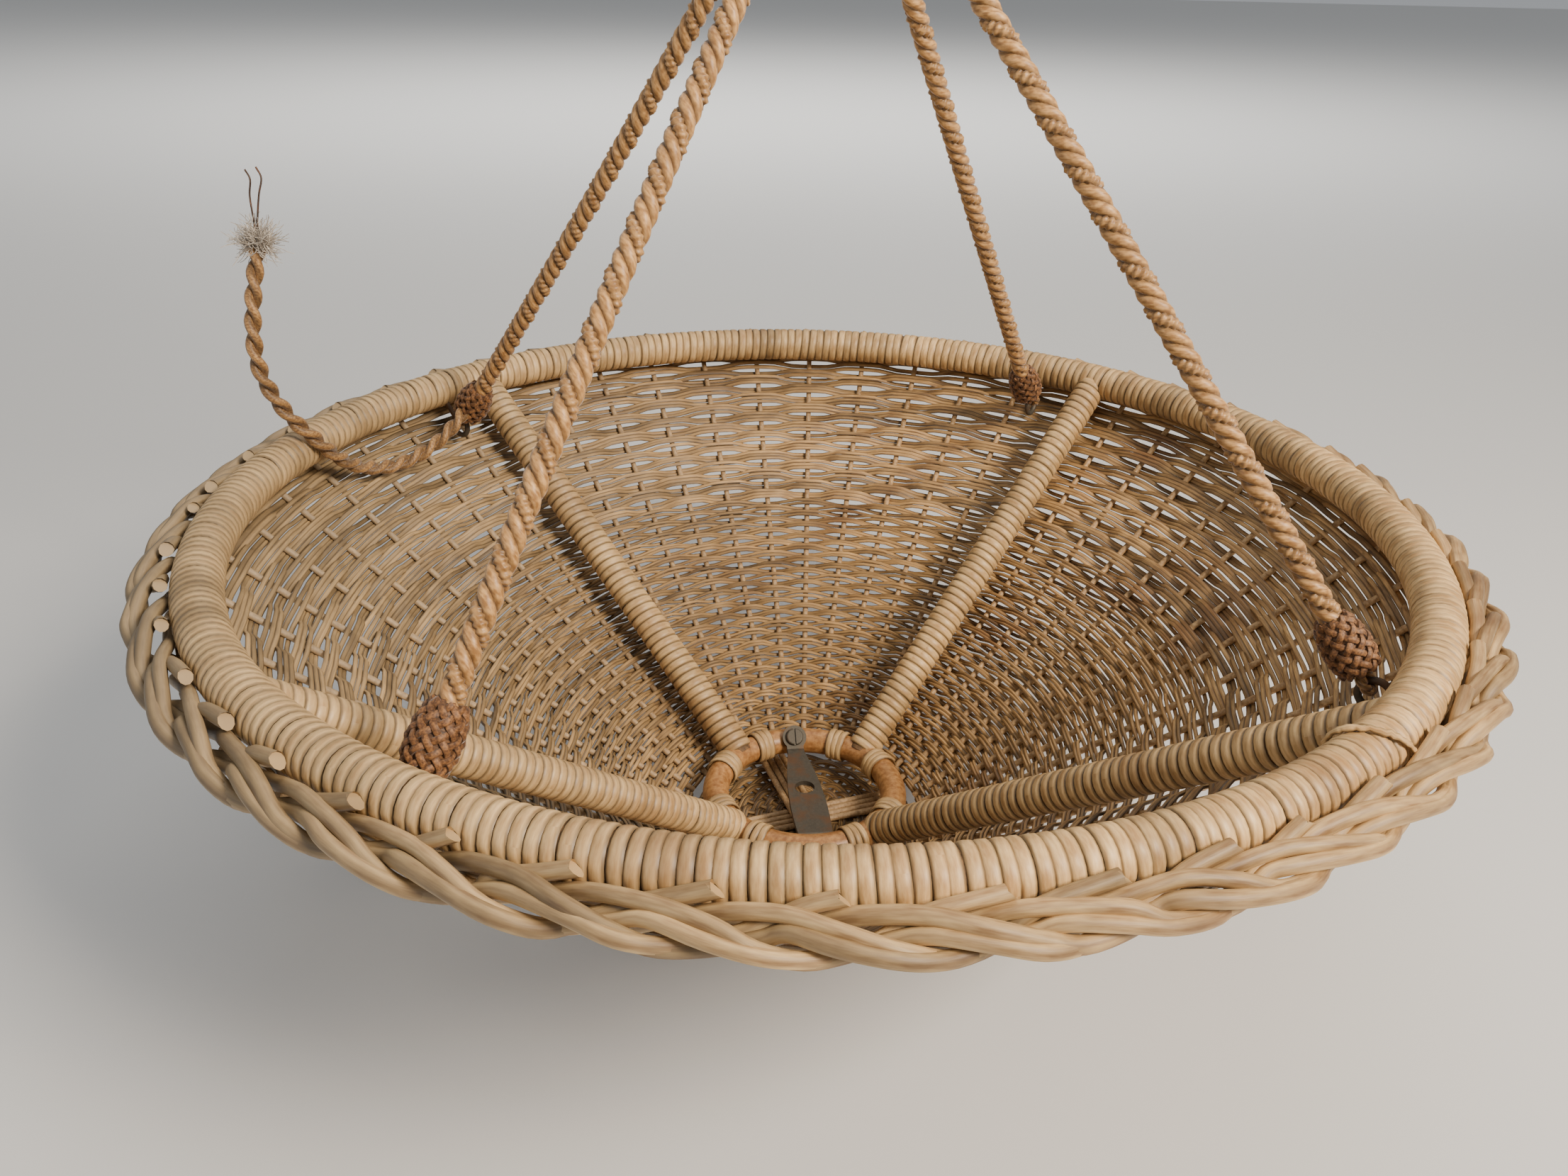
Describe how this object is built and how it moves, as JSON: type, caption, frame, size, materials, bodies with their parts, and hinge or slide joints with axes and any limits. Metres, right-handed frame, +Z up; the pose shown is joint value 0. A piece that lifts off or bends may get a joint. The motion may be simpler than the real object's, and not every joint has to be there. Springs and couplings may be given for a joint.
{
  "type": "hanging wicker bowl",
  "caption": "Shallow conical wicker bowl with a wrapped rim, four spokes and a lamp bracket, hung by four ropes from a ceiling hook.",
  "frame": {"origin": "centre of the ceiling hook's shank where its collar meets the ceiling", "axes": "+Z up along the hook's shank, +Y to the back, +X to the right seen from the front"},
  "size_m": [0.5515, 0.5516, 0.591],
  "materials": {
    "iron": "dark, lightly rusted",
    "rope": "glossy silk rope, sateen",
    "knob_cord": "woven red-brown cord",
    "hoop_wood": "bare rod",
    "cane_wrapping": "flat peeled cane, satin",
    "ring_cane": "bare varnished cane",
    "woven_cane": "aged woven cane, matte",
    "stakes": "round cane rods",
    "border_cane": "plaited round cane",
    "flex_silk": "silk-covered twisted pair",
    "cotton": "frayed cotton",
    "wire": "rubber-covered wire"
  },
  "bodies": {
    "hook": {"ceiling_hook": "iron"},
    "ring": {"suspension_ring": "iron"},
    "bowl": {"base_sticks": "stakes", "base_weave": "woven_cane", "border_plait": "border_cane", "border_tips": "border_cane", "bracket_screws": "iron", "centre_ring": "ring_cane", "centre_ring_bindings": "cane_wrapping", "flex": "flex_silk", "flex_fray": "cotton", "flex_wires": "wire", "iron_eye_back_left": "iron", "iron_eye_back_right": "iron", "iron_eye_front_left": "iron", "iron_eye_front_right": "iron", "knob_back_left": "knob_cord", "knob_back_right": "knob_cord", "knob_front_left": "knob_cord", "knob_front_right": "knob_cord", "lamp_bracket": "iron", "lower_weave": "woven_cane", "rim_core": "hoop_wood", "rim_tie": "cane_wrapping", "rim_wrapping": "cane_wrapping", "rope_back_left": "rope", "rope_back_right": "rope", "rope_eye_back_left": "rope", "rope_eye_back_right": "rope", "rope_eye_front_left": "rope", "rope_eye_front_right": "rope", "rope_front_left": "rope", "rope_front_right": "rope", "spoke_core_back_left": "hoop_wood", "spoke_core_back_right": "hoop_wood", "spoke_core_front_left": "hoop_wood", "spoke_core_front_right": "hoop_wood", "spoke_wrapping_back_left": "cane_wrapping", "spoke_wrapping_back_right": "cane_wrapping", "spoke_wrapping_front_left": "cane_wrapping", "spoke_wrapping_front_right": "cane_wrapping", "stakes": "stakes", "top_eye": "rope", "top_seizing": "knob_cord", "upper_weave": "woven_cane"}
  },
  "joints": [
    {"name": "ring_swing", "type": "hinge", "parent": "hook", "child": "ring", "pos_m": [0, 0, -0.032], "axis": [1, 0, 0], "range_deg": [-25, 25]},
    {"name": "bowl_swing", "type": "hinge", "parent": "ring", "child": "bowl", "pos_m": [0, 0, -0.0552], "axis": [0, 1, 0], "range_deg": [-25, 25]}
  ]
}
